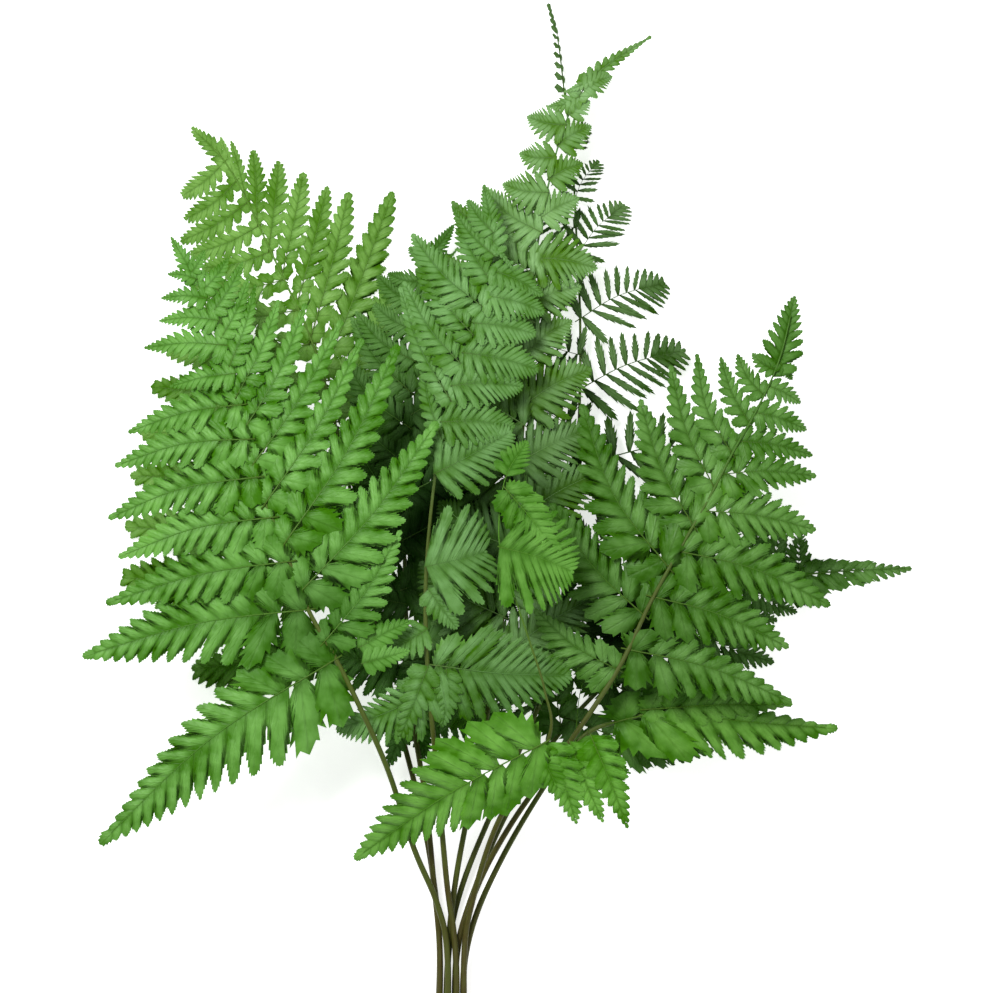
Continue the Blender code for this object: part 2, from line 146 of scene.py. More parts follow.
FRONDS = {
    "frond_left_back": dict(
        layer=0, row=0, fullness=1.5, slender=1.0, broad=0.22, pointed=0.6,
        step=1.0, spacing=32.0, starts=(0.2, 0.35), bends=(0.1, 0.02),
        tip=(0.87, 6.5, 6.5), unruly=1.0, sink=(0.06, -0.8), necked=(0.42, 0.5),
        colour=(0.135, 0.315, 0.032), slot="yellow_green_leaf",
        blade_from=5,
        course=[(-9, -60), (-6.6, 3), (-10, 45), (-18, 87), (-29, 130), (-38, 172), (-51, 236),
                (-62, 286), (-74, 329), (-92, 369), (-118, 422), (-139, 445)],
        left=[(0, -131, 146), (0.12, -176, 204), (0.3, -173, 253), (0.5, -160, 313), (0.64, -139, 352),
              (0.74, -131, 373), (0.82, -144, 381), (0.9, -142, 403), (1, -139, 445)],
        right=[(0, -12, 215), (0.3, -17, 310), (0.413, -27, 368), (0.489, -31, 411), (0.56, -53, 412),
               (0.625, -67, 416), (0.684, -80, 423), (0.739, -93, 428), (0.79, -107, 433),
               (0.88, -125, 440), (1, -139, 445)]),
    "frond_right_back": dict(
        layer=0, row=0, fullness=1.25, slender=1.15, free=0.6, broad=0.22, pointed=0.75,
        step=1.0, spacing=30.0, starts=(0.1, 0.35), bends=(0.12, 0.12),
        tip=(0.68, 11.0, 7.0), unruly=2.0,
        colour=(0.062, 0.175, 0.010), slot="dark_green_leaf",
        blade_from=4,
        course=[(2, -60), (2.4, 3), (14, 45), (32, 85), (57, 122), (84, 151), (110, 175), (137, 192),
                (163, 202), (200, 208), (245, 210)],
        left=[(0, 57, 188), (0.2, 100, 215), (0.4, 142, 246), (0.55, 169, 244), (0.7, 182, 231),
              (0.9, 220, 215), (1, 245, 210)],
        right=[(0, 131, 109), (0.2, 152, 128), (0.35, 167, 150), (0.5, 172, 178), (0.65, 192, 190),
               (0.9, 229, 203), (1, 245, 210)]),
    "frond_tall_back": dict(
        layer=1, row=0, fullness=1.00, slender=0.5, free=0.68, broad=0.36, pointed=0.6,
        step=1.0, spacing=56.0, starts=(0.1, 0.61), bends=(0.2, -0.15), lean=(74.0, 54.0),
        tip=(0.84, 1.2, 4.2), unruly=1.0, bare=((0.8, 2.0), (0.8, 2.0)),
        placed=[(50, 150, -8, 176, 20, 20, 0.0, 0), (60, 200, -2, 224, 20, 20, 0.2, 0),
                (66, 252, 8, 276, 18, 18, 0.0, 0)],
        colour=(0.055, 0.138, 0.014), slot="dark_green_leaf",
        blade_from=4,
        course=[(-3.5, -60), (-2.1, 3), (5, 40), (24, 87), (44, 132), (55, 167), (61, 215), (66, 262),
                (68, 305), (68, 347), (66, 390), (64, 427), (60, 461), (56, 493), (51, 511)],
        left=[(0, 15, 172), (0.15, 25, 236), (0.3, 28, 278), (0.5, 36, 342), (0.62, 36, 384),
              (0.75, 48, 424), (0.85, 53, 461), (1, 51, 511)],
        right=[(0, 100, 193), (0.18, 131, 225), (0.3, 163, 253), (0.455, 126, 325), (0.553, 114, 362),
               (0.64, 93, 402), (0.718, 78, 427), (0.85, 66, 458), (1, 51, 511)]),
    "frond_middle_back": dict(
        layer=2, row=1, fullness=1.60, slender=1.25, broad=0.24, pointed=0.75,
        step=0.8, spacing=30.0, starts=(0.1, 0.4), bends=(0.15, 0.15),
        tip=(0.87, 6.0, 6.0), unruly=4.0,
        placed=[(-23, 160, 58, 168, 20, 20, -0.2, 0), (-25, 196, 62, 205, 20, 20, 0.1, 0),
                (-25, 232, 56, 252, 20, 20, -0.1, 0), (-23, 276, 50, 296, 16, 16, 0.1, 0),
                (-22, 144, 34, 122, 18, 18, 0.0, 0), (-22, 145, -34, 104, 9, 9, 0.2, 1),
                (-20, 143, -14, 108, 9, 9, 0.1, 1)],
        colour=(0.082, 0.225, 0.026), slot="grey_green_leaf",
        blade_from=5,
        course=[(-8, -60), (-6.5, 3), (-10, 45), (-14, 87), (-20, 125), (-23, 159), (-25, 204),
                (-25, 246), (-23, 289), (-20, 331), (-14, 368), (1, 393)],
        left=[(0, -81, 172), (0.15, -62, 209), (0.3, -57, 262), (0.6, -53, 343), (0.82, -38, 366),
              (1, 1, 393)],
        right=[(0, 25, 172), (0.2, 20, 236), (0.4, 15, 289), (0.6, 10, 337), (0.8, 2, 368), (1, 1, 393)]),
    "frond_low_right": dict(
        layer=2, row=1, fullness=1.30, slender=1.2, broad=0.22, pointed=0.85,
        step=1.1, spacing=30.0, starts=(0.1, 0.4), bends=(0.1, -0.05),
        tip=(0.15, 25.0, 13.0), unruly=3.0,
        placed=[(100, 135, 181, 138, 9, 11, 0.3, 0), (66, 118, 95, 101, 7, 7, 0.0, 1)],
        colour=(0.082, 0.245, 0.004), slot="dark_green_leaf",
        blade_from=3,
        course=[(8, -60), (7, 3), (26, 55), (64, 115), (89, 129), (121, 134), (153, 129), (205, 125)],
        left=[(0, 73, 167), (0.2, 100, 167), (0.5, 134, 157), (0.65, 155, 146), (1, 205, 125)],
        right=[(0, 78, 106), (0.15, 100, 110), (0.42, 131, 104), (0.65, 157, 107), (0.8, 176, 114),
               (1, 205, 125)]),
    "frond_centre_top": dict(
        layer=3, row=1, fullness=1.55, slender=1.15, broad=0.36, pointed=0.95,
        step=0.85, spacing=40.0, bends=(0.15, -0.1),
        tip=(0.85, 5.5, 5.5), unruly=2.5,
        colour=(0.145, 0.310, 0.085), slot="grey_green_leaf",
        blade_from=4,
        course=[(-3, -60), (-2.2, 3), (2, 45), (12, 98), (21, 146), (28, 193), (34, 241), (38, 289),
                (41, 337), (45, 379), (51, 413), (58, 440), (65, 457), (78, 474), (106, 493)],
        left=[(0, -28, 172), (0.2, -12, 246), (0.4, -1, 326), (0.6, 2, 401), (0.662, 14, 411),
              (0.719, 27, 413), (0.771, 34, 432), (0.819, 41, 451), (0.863, 52, 457), (0.904, 60, 465),
              (1, 106, 493)],
        right=[(0, 78, 183), (0.2, 78, 246), (0.4, 73, 310), (0.5, 65, 351), (0.622, 71, 371),
               (0.682, 69, 408), (0.737, 74, 428), (0.788, 70, 446), (0.834, 75, 462), (0.877, 84, 470),
               (1, 106, 493)]),
    "frond_right_front": dict(
        layer=4, row=1, fullness=1.20, slender=1.1, broad=0.22, pointed=0.8,
        step=1.1, spacing=32.0, bends=(0.15, -0.1),
        tip=(0.79, 10.0, 11.0), unruly=2.0, sink=(0.06, -1.2),
        colour=(0.076, 0.215, 0.014), shaded=[(95.0, 170.0, 50.0, 0.12)], slot="mid_green_leaf",
        blade_from=5,
        course=[(2.6, -60), (2.3, 3), (13, 40), (33, 77), (63, 119), (88, 157), (105, 192), (121, 221),
                (137, 249), (149, 272), (162, 295), (174, 322), (182, 355)],
        left=[(0, 40, 195), (0.146, 50, 245), (0.276, 66, 297), (0.392, 96, 300), (0.497, 117, 317),
              (0.59, 129, 325), (0.674, 143, 321), (0.749, 150, 325), (0.816, 160, 328), (1, 182, 355)],
        right=[(0, 158, 125), (0.051, 178, 138), (0.191, 184, 170), (0.317, 203, 193), (0.429, 194, 227),
               (0.53, 194, 261), (0.62, 190, 270), (0.7, 188, 285), (0.772, 185, 297), (1, 182, 355)]),
    "frond_centre_front": dict(
        layer=5, row=2, fullness=1.60, slender=1.12, broad=0.28, pointed=0.75,
        step=0.8, spacing=32.0, bends=(0.1, -0.1),
        tip=(0.85, 7.0, 7.0), unruly=5.0, bare=((0.13, 0.42), (0.0, 0.47)),
        placed=[(-12, 159.5, 63.6, 153.7, 23, 24, 0.4, 0), (-12, 160, -28, 119, 9, 9, 0.7, 1),
                (-3, 158, -5, 126, 8, 8, 0.5, 1), (-15, 211, 19, 219.4, 27, 26, 0.6, 0),
                (-10, 260, 32, 283, 18, 18, 0.3, 0), (-13, 200, 3, 178, 8, 8, -0.3, 1)],
        colour=(0.108, 0.270, 0.055), shaded=[(34.0, 150.0, 40.0, 0.3)], slot="grey_green_leaf",
        blade_from=4,
        course=[(2, -60), (2, 3), (-3, 45), (-8, 103), (-12, 146), (-14, 193), (-11, 241), (-4, 289),
                (6, 320), (15, 347), (22, 379), (17, 414)],
        left=[(0, -65, 130), (0.12, -31, 183), (0.3, -36, 262), (0.45, -28, 321), (0.6, -30, 352),
              (0.75, -12, 390), (1, 17, 414)],
        right=[(0, 63, 153), (0.15, 64, 199), (0.28, 19, 219), (0.4, 15, 252), (0.5, 32, 280),
               (0.68, 45, 321), (0.84, 41, 360), (1, 17, 414)]),
    "frond_left_front": dict(
        layer=6, row=2, fullness=1.30, slender=1.0, broad=0.17, pointed=0.85,
        step=1.0, spacing=30.0, starts=(0.0, 0.4), bends=(-0.11, 0.08),
        tip=(0.87, 6.0, 6.0), unruly=1.5, sink=(-0.02, 0.6),
        colour=(0.096, 0.285, 0.022), shaded=[(-74.0, 182.0, 34.0, 0.45)], slot="light_green_leaf",
        placed=[(-50, 168, -21, 183, 8, 8, 0.0, 1), (-48, 160, -22, 167, 7, 7, 0.1, 1)],
        blade_from=6,
        course=[(-3, -60), (-2.4, 3), (-8, 32), (-20, 61), (-34, 104), (-49, 138), (-61, 162),
                (-77, 191), (-89, 223), (-100, 249), (-107, 275), (-112, 298), (-120, 329), (-131, 355),
                (-149, 386)],
        left=[(0, -184, 66), (0.122, -196, 164), (0.234, -184, 190), (0.336, -174, 214),
              (0.429, -181, 232), (0.513, -180, 264), (0.59, -174, 280), (0.66, -148, 302),
              (0.723, -165, 322), (0.781, -157, 339), (0.835, -152, 354), (1, -149, 386)],
        right=[(0, -27, 222), (0.049, -25, 232), (0.167, -8, 289), (0.275, -28, 328), (0.373, -47, 330),
               (0.462, -60, 341), (0.544, -78, 348), (0.618, -90, 353), (0.747, -108, 365),
               (0.855, -118, 374), (1, -149, 386)]),
    "frond_low_front": dict(
        layer=7, row=2, fullness=1.60, slender=1.25, free=0.35, broad=0.32, pointed=0.85,
        step=0.95, spacing=32.0, starts=(0.0, 0.1), bends=(-0.08, -0.08),
        tip=(0.86, 8.0, 8.0), unruly=2.0, bare=((-1.0, 2.0), (-1.0, 2.0)),
        slim=0.6, sink=(0.22, 3.4),
        placed=[(52, 120, -52, 56, 23, 26, 1.1, 0), (49, 119, 66, 75, 12, 11, 0.3, 1),
                (62, 119.5, 80, 76, 10, 10, 0.0, 1), (73, 123, 93, 73, 11, 10, 0.3, 1),
                (44, 116, 58, 88, 9, 9, 0.6, 1),
                (24, 222, 64.7, 208, 23, 28, 0.3, 0), (27, 254, 59, 213, 11, 12, 0.5, 0)],
        colour=(0.112, 0.330, 0.018), slot="mid_green_leaf",
        blade_from=4,
        course=[(7, -60), (6.4, 3), (11, 34), (25, 77), (51, 120), (49, 146), (41, 172), (32, 199),
                (25, 225), (28, 257), (40, 278)],
        left=[(0, -52, 56), (0.2, -17, 140), (0.4, -12, 183), (0.6, -6, 215), (0.8, 10, 252), (1, 40, 278)],
        right=[(0, 91, 73), (0.2, 78, 130), (0.4, 73, 172), (0.55, 64, 208), (0.75, 55, 246), (1, 40, 278)]),
}


# The shape of the fronds

def smooth_step(share):
    """0 before 0, 1 after 1, and a cubic rise between."""
    share = np.clip(share, 0.0, 1.0)
    return share * share * (3.0 - 2.0 * share)


def smooth_curve(points, count):
    """Evenly spaced points on the Catmull-Rom curve through the given points."""
    points = np.asarray(points, float)
    ends = np.vstack([2 * points[0] - points[1], points, 2 * points[-1] - points[-2]])
    t = np.linspace(0.0, 1.0, 20, endpoint=False)[:, None]
    spans = []
    for a, b, c, d in zip(ends, ends[1:], ends[2:], ends[3:]):
        cubic = (3 * b - a - 3 * c + d) * t**3
        spans.append(0.5 * (2 * b + (c - a) * t + (2 * a - 5 * b + 4 * c - d) * t**2 + cubic))
    return resampled(np.vstack([*spans, points[-1:]]), count)


def resampled(curve, count):
    """The same curve with its points evenly spaced."""
    steps = np.linalg.norm(np.diff(curve, axis=0), axis=1)
    along = np.concatenate([[0.0], np.cumsum(steps)])
    wanted = np.linspace(0.0, along[-1], count)
    return np.column_stack([np.interp(wanted, along, curve[:, k]) for k in range(2)])


def length_of(curve):
    return np.linalg.norm(np.diff(curve, axis=0), axis=1).sum()


def point_at(curve, share):
    """Points at the given shares of an evenly spaced curve."""
    shares = np.linspace(0.0, 1.0, len(curve))
    return np.column_stack([np.interp(share, shares, curve[:, k]) for k in range(2)])


def tangents_of(curve):
    way = np.gradient(curve, axis=0)
    return way / np.linalg.norm(way, axis=1, keepdims=True)


def blade_course(frond):
    """The stretch of the frond's course that carries leaflets."""
    whole = smooth_curve(frond["course"], 600)
    start = np.asarray(frond["course"][frond["blade_from"]], float)
    first = np.argmin(np.linalg.norm(whole - start, axis=1))
    return resampled(whole[first:], 200)


def layer_spacing(reach):
    """The height between one layer and the next, at this distance from the waist."""
    rise = smooth_step((reach - RISE_START) / RISE_RUN)
    fall = smooth_step((reach - FALL_START) / FALL_RUN)
    return rise * (LAYER_GAP - (LAYER_GAP - OUTER_LAYER_GAP) * fall)


def middle_height(frond, x, y):
    """The frond's middle surface: stacked in rows at the waist, then fanned into layers."""
    reach = np.hypot(x, np.maximum(y, 0.0))
    rise = smooth_step((reach - RISE_START) / RISE_RUN)
    fall = smooth_step((reach - FALL_START) / FALL_RUN)
    lowest = FLOOR_LAYER - (FLOOR_LAYER - OUTER_FLOOR_LAYER) * fall
    base = ROW_HEIGHTS[frond["row"]] * (1.0 - rise) + lowest * rise
    sag = FOOT_SAG * smooth_step((-y - SAG_START) / SAG_RUN)
    return base + frond["layer"] * layer_spacing(reach) - sag


def play(x, y):
    """How far a leaf may rise or dip from its middle surface and stay clear of the next layer."""
    reach = np.hypot(x, np.maximum(y, 0.0))
    return np.maximum(layer_spacing(reach) - CLEARANCE, 0.6) / 2.0


def stations_of(length, spacing, crowding, start, end):
    """Shares of a length, the first after start steps, by a step that shrinks as the share grows."""
    stations = [start * spacing / length]
    while stations[-1] < end:
        stations.append(stations[-1] + spacing * (1.0 - crowding * stations[-1]) / length)
    return np.array(stations[:-1])


def curved_rib(root, tip, side, bend):
    """A rib from root to tip, through a middle point that is moved across it by half of bend."""
    along = tip - root
    across = np.array([along[1], -along[0]]) * side
    middle = (root + tip) / 2.0 - across * bend / 2.0
    return smooth_curve([root, middle, tip], 40)


def leaflets_of(frond, sizes, draw):
    """Each leaflet: its rib, which side it is on, its half widths, and how it bends in height and in tone.

    A leaflet is half as wide as its neighbours' ribs are apart, times the frond's fullness.
    """
    course = blade_course(frond)
    length = length_of(course)
    leaflets = []
    for which, (side, ends) in enumerate(((1, frond["left"]), (-1, frond["right"]))):
        ends = np.asarray(ends, float)
        bend = frond["bends"][which]
        bare_from, bare_to = frond["bare"][which]
        spacing = frond["spacing"] * sizes.leaflet_spacing
        last = min(frond["tip"][0] + 0.06, LAST_LEAFLET)
        stations = stations_of(length, spacing, LEAFLET_CROWDING, frond["starts"][which], last)
        roots = point_at(course, stations)
        tips = np.column_stack([np.interp(stations, ends[:, 0], ends[:, k]) for k in (1, 2)])
        tips = tips + draw.normal(0.0, frond["unruly"], tips.shape)
        middles = (roots + tips) / 2.0
        for i, (root, tip) in enumerate(zip(roots, tips)):
            if bare_from <= stations[i] <= bare_to:
                continue
            along = tip - root
            reach = np.hypot(*along)
            root = root - along / reach * min(LEAFLET_OVERHANG, 0.06 * reach)
            across = np.array([along[1], -along[0]]) / reach * side
            steps = [abs(across @ (middles[j] - middles[i])) for j in (i - 1, i + 1) if 0 <= j < len(roots)]
            half = 0.5 * np.mean(steps) * frond["fullness"]
            upper = min(half, frond["broad"] * reach + LEAFLET_ROOM)
            lower = LOWER_WIDER * half
            if i == 0:
                upper = upper * FIRST_UPPER
                lower = max(lower, FIRST_LOWER * reach)
            leaflets.append(dict(
                rib=curved_rib(root, tip, side, bend * draw.uniform(0.7, 1.2)), side=side, whole=False,
                upper=upper, lower=min(lower, LOWER_WIDER * frond["broad"] * reach + LEAFLET_ROOM),
                root_own=draw.uniform(0.0, 0.4), tip_own=draw.uniform(-0.9, -0.1),
                lift=draw.uniform(0.1, 0.7), roll=-0.5 + draw.uniform(-0.25, 0.25),
                tone=draw.uniform(-1, 1)))
    for root_x, root_y, tip_x, tip_y, left_half, right_half, own, whole in frond["placed"]:
        root, tip = np.array([root_x, root_y]), np.array([tip_x, tip_y])
        leaflets.append(dict(
            rib=curved_rib(root, tip, 1, draw.uniform(-0.08, 0.08)), side=-1, whole=whole,
            upper=left_half, lower=right_half, root_own=own, tip_own=own - 0.6, lift=0.3,
            roll=draw.uniform(-0.2, 0.2), tone=draw.uniform(-1, 1)))
    start, right_half, left_half = frond["tip"]
    leaflets.append(dict(
        rib=resampled(course[int(start * len(course)):], 40), side=1, whole=False,
        upper=right_half, lower=left_half, root_own=0.0, tip_own=-0.3, lift=0.1, roll=0.0, tone=0.0))
    return leaflets


def leaf_envelope(t, power, necked):
    """A leaflet's half width at the share t of its rib, as a share of its full half width.

    (1 - t) ** power, scaled to 1 at t = 0.3, times a smooth rise from the neck's width to 1.
    """
    neck, grown = necked
    return (1.0 - t) ** power / 0.7**power * (neck + (1.0 - neck) * smooth_step(t / grown))


# The numbers that make a pinnule: its root, the rib's way and its own, how both turn and how it tapers, its
# length, half its step, its width, whether it is joined and where it meets its neighbours, its place on the
# rib and the rib's length, how its length runs ahead and outward, and its bends, tone and tilts in height
PINNULE_FIELDS = ("root_x", "root_y", "rib_x", "rib_y", "way_x", "way_y", "rib_turn", "way_turn", "taper",
                  "length", "half_step", "width", "joined", "notch", "along", "rib_length", "ahead",
                  "outward", "root_own", "tip_own", "lift", "roll", "tone", "pitch", "bank", "fold", "droop")


def pinnules_of(leaflet, frond, sizes, draw):
    """The pinnules of a leaflet, as one row of numbers each, in the order of PINNULE_FIELDS.

    Pinnules stand in two rows along the rib, closer and shorter towards its tip, each leaning
    towards that tip. Near the base they are free, and further out they are joined, so that the
    leaflet's outer part is one blade with a lobed edge.
    """
    rib = leaflet["rib"]
    way = tangents_of(rib)
    length = length_of(rib)
    base, growth = PINNULE_STEP
    spacing = float(np.clip(base + growth * length, *PINNULE_STEP_RANGE))
    spacing = spacing * frond["step"] * sizes.pinnule_spacing
    spacing = max(min(spacing, 0.2 * length), 0.25 * min(leaflet["upper"], leaflet["lower"]))
    short = np.clip((SHORT_LEAFLET - length) / SHORT_RUN, 0.0, 1.0) * (frond["free"] < 0.5)
    if leaflet["whole"]:
        spacing, short = 0.16 * length, 1.0
    shares = np.linspace(0.0, 1.0, len(way))
    heading = np.unwrap(np.arctan2(way[:, 1], way[:, 0]))
    rib_turns = np.gradient(heading, length / (len(way) - 1))
    held = {key: leaflet[key] for key in ("root_own", "tip_own", "lift", "roll")}
    rows = []
    for which, upward in enumerate((1, -1)):
        half = leaflet["upper"] if upward > 0 else leaflet["lower"]
        # Neighbours meet at these shares of the rib, so that joined pinnules leave no gap
        meets = stations_of(length, spacing, PINNULE_CROWDING, ROW_STARTS[which], ROW_END)
        t = (meets[:-1] + meets[1:]) / 2.0
        half_step = np.diff(meets) / 2.0 * length
        merged = np.maximum(smooth_step((t - frond["free"] - 0.04) / JOINING), 0.5 * short)
        joined = np.where(merged > 0.0, 1.0, 0.0)
        loose = 1.0 - joined
        # The turn from the rib's way to the side: + is to the left of it
        turn = -upward * leaflet["side"]
        opened = ROOT_SPREAD[which] * np.exp(-t / SPREAD_FADE)
        lean = frond["lean"][which] + opened - TIP_LEAN * t
        lean = np.radians(lean + draw.normal(0.0, 4.0, len(t)) * loose)
        angle = np.interp(t, shares, heading)
        axis = angle + turn * lean
        rib_turn = np.interp(t, shares, rib_turns)
        uneven = 1.0 + draw.normal(0.0, 0.05, len(t)) * loose
        envelope = leaf_envelope(t, frond["pointed"], frond["necked"])
        root = point_at(rib, t)
        tone = leaflet["tone"] * 0.6 + draw.normal(0.0, 0.4, len(t)) * (0.3 + 0.7 * loose)
        rows.append(pinnule_rows(len(t), dict(
            held, root_x=root[:, 0], root_y=root[:, 1], rib_x=np.cos(angle), rib_y=np.sin(angle),
            way_x=np.cos(axis), way_y=np.sin(axis), rib_turn=rib_turn,
            way_turn=rib_turn - turn * np.radians(TIP_LEAN + opened / SPREAD_FADE) / length,
            taper=-frond["pointed"] / (1.0 - t) / length * half_step,
            length=np.maximum(half * envelope * uneven / np.sin(lean), 1.0), half_step=half_step,
            width=frond["slender"] * (1.3 + draw.normal(0.0, 0.06, len(t))), joined=joined,
            notch=NOTCH + NOTCH_RISE * np.maximum(merged, leaflet["whole"]), along=t, rib_length=length,
            ahead=np.cos(lean), outward=upward * np.sin(lean) / max(half, 1.0), tone=tone,
            pitch=draw.normal(0.0, 0.10, len(t)) * loose, bank=draw.normal(0.0, 0.18, len(t)) * loose,
            fold=0.22 + draw.uniform(-0.12, 0.12, len(t)) * loose,
            droop=draw.uniform(0.03, 0.2, len(t)) * loose)))
    # The last pinnule lies along the rib and is its tip
    left = max(0.06 * length, 2.0)
    root = rib[-1] - way[-1] * left
    rows.append(pinnule_rows(1, dict(
        held, root_x=root[0], root_y=root[1], rib_x=-way[-1, 1], rib_y=way[-1, 0], way_x=way[-1, 0],
        way_y=way[-1, 1], rib_turn=0.0, way_turn=0.0, taper=0.0, length=left, half_step=left * 0.4,
        width=1.0, joined=0.5, notch=0.3, along=0.94, rib_length=length, ahead=1.0, outward=0.0,
        tone=leaflet["tone"] * 0.6, pitch=0.0, bank=0.0, fold=0.15, droop=0.1)))
    return np.vstack(rows)


def pinnule_rows(count, values):
    """One row for each pinnule, with its values in the order of PINNULE_FIELDS."""
    return np.column_stack([np.broadcast_to(values[name], count) for name in PINNULE_FIELDS])


def edge_of_pinnule(samples, joined, notch, teeth, ragged):
    """A pinnule's toothed edge, as shares of its half width and its length.

    With q from 0 at the tip to 1 at the base, a free pinnule's edge is at 1 - q along and at
    (1 - q) ** 0.45 * q ** 0.5, scaled to reach 1, across. A joined one's is at
    1 - (1 - notch) * q to a power along, and at q ** 0.75 across. The power grows, so the lobe gets
    rounder, the deeper the notch is. Every second sample is moved out as a tooth, and the rest in, by
    an uneven amount that fades at the tip and at the base.
    """
    place = np.linspace(-1.0, 1.0, samples)
    middle = (samples - 1) // 2
    peak = (np.arange(samples) - middle) % 2 == 0
    q = np.abs(place)
    q = np.where(peak & (q > 0.0) & (q < 1.0), q - 0.5 / middle, q)
    joined, notch = joined[:, None], notch[:, None]
    along = 1.0 - 0.97 * q
    across = 1.93 * (1.0 - q) ** 0.45 * q**0.5
    round_lobe = 1.05 + 1.5 * np.clip((0.6 - notch) / 0.5, 0.0, 1.0)
    along = along + (1.0 - (1.0 - notch) * q**round_lobe - along) * joined
    across = across + (q**0.75 - across) * joined
    fade = np.clip((1.0 - q) / (0.28 - 0.13 * joined), 0.0, 1.0)
    fade = fade * np.clip(0.15 + 4.0 * q, 0.0, 1.0)
    uneven = 1.0 + 0.5 * np.sin(2.3 * np.arange(samples) + ragged[:, None])
    out = np.where(peak, 1.0, -0.8) * fade * uneven * teeth[:, None]
    across = np.sign(place) * across * (1.0 + out)
    along = along * (1.0 + 0.4 * out * (1.0 - 0.65 * joined))
    return across, along


def shell_template(rings, samples):
    """Faces of one closed shell on a grid of rings by samples.

    The upper and the lower sheet share the grid's outline and have their own inner points.
    """
    upper = np.arange(rings * samples).reshape(rings, samples)
    lower = upper.copy()
    inner = (rings - 2) * (samples - 2)
    lower[1:-1, 1:-1] = rings * samples + np.arange(inner).reshape(rings - 2, samples - 2)

    def quads(grid):
        return np.stack([grid[:-1, :-1], grid[:-1, 1:], grid[1:, 1:], grid[1:, :-1]], axis=-1).reshape(-1, 4)

    return np.vstack([quads(upper), quads(lower)[:, ::-1]])


def leaf_height(frond, x, y, own, tilt):
    """The frond's middle surface plus a share of its play, softly held inside that play."""
    room = play(x, y)
    limit = np.maximum(room, 0.35)
    height = middle_height(frond, x, y) + limit * np.tanh((room * own + tilt) / limit)
    return np.maximum(height, LOWEST_LEAF)


def pinnule_shells(frond, rows, samples, rings):
    """Closed thin shells of many pinnules at once: points, faces, and each point's marks.

    A point is root + rib's way * u * half step + axis * v * length, with the axis turned and the rib
    bowed by u where pinnules are joined. Its height is the frond's middle surface plus the leaflet's
    own bend and the pinnule's tilt, fold and droop. The mark is (u, v).
    """
    f = {name: rows[:, i, None, None] for i, name in enumerate(PINNULE_FIELDS)}
    length, joined, notch = (f[name][:, 0, 0] for name in ("length", "joined", "notch"))
    size, growth = TEETH
    teeth = np.clip(size + growth * length, *TEETH_RANGE) * (1.0 - 0.3 * joined)
    across, along = edge_of_pinnule(samples, joined, notch, teeth, 40.0 * length)
    ring = np.array(rings)[None, :, None]
    place = np.linspace(-1.0, 1.0, samples)
    base = place[None, None, :] * (0.35 + 0.65 * f["joined"])
    wide = f["width"] + (1.02 - f["width"]) * f["joined"]
    u = ((1.0 - ring) * base + ring * across[:, None, :]) * wide
    v = ring * along[:, None, :]
    a = v * f["length"]
    b = u * f["half_step"]
    a = a * (1.0 + f["taper"] * u * f["joined"])
    turned = f["way_turn"] * b * f["joined"]
    way_x = f["way_x"] * np.cos(turned) - f["way_y"] * np.sin(turned)
    way_y = f["way_x"] * np.sin(turned) + f["way_y"] * np.cos(turned)
    bow = f["rib_turn"] * b**2 / 2.0
    x = f["root_x"] + a * way_x + b * f["rib_x"] - bow * f["rib_y"]
    y = f["root_y"] + a * way_y + b * f["rib_y"] + bow * f["rib_x"]

    t = f["along"] + (b + a * f["ahead"]) / f["rib_length"]
    out = a * f["outward"]
    own = (f["root_own"] + (f["tip_own"] - f["root_own"]) * t + 4.0 * f["lift"] * t * (1.0 - t)
           + f["roll"] * out - 0.25 * np.abs(out))
    # Beside the midrib the pinnules on the tip's side rise over it
    own = own + 1.3 * np.maximum(out, 0.0) * np.exp(-np.maximum(t, 0.0) / 0.12)
    vale = 0.7 * (1.0 - np.exp(-a / 1.5))
    tilt = (vale + a * f["pitch"] + b * f["bank"] * v - f["fold"] * f["half_step"] * np.abs(u) ** 1.6 * ring
            - a * v * f["droop"])
    height = leaf_height(frond, x, y, own, tilt)

    half = LEAF_HALF_THICKNESS * (1.0 - ring**4)
    upper = np.stack([x, y, height + half], axis=-1)
    lower = np.stack([x, y, height - half], axis=-1)
    edge = grid_edge(len(rings), samples)
    upper[:, edge] = np.stack([x, y, height], axis=-1)[:, edge]
    count = len(rows)
    points = np.concatenate([upper.reshape(count, -1, 3), lower[:, ~edge].reshape(count, -1, 3)], axis=1)
    marks = np.stack([u, v + 0 * u], axis=-1)
    marks = np.concatenate([marks.reshape(count, -1, 2), marks[:, ~edge].reshape(count, -1, 2)], axis=1)
    each = points.shape[1]
    template = shell_template(len(rings), samples)
    faces = template[None] + (np.arange(count) * each)[:, None, None]
    tone = np.repeat(f["tone"], each)
    joined = np.repeat(f["joined"], each)
    return points.reshape(-1, 3), faces.reshape(-1, 4), marks.reshape(-1, 2), tone, joined


def grid_edge(rings, samples):
    """Which points of a grid lie on its outline."""
    edge = np.zeros((rings, samples), bool)
    edge[[0, -1], :] = True
    edge[:, [0, -1]] = True
    return edge


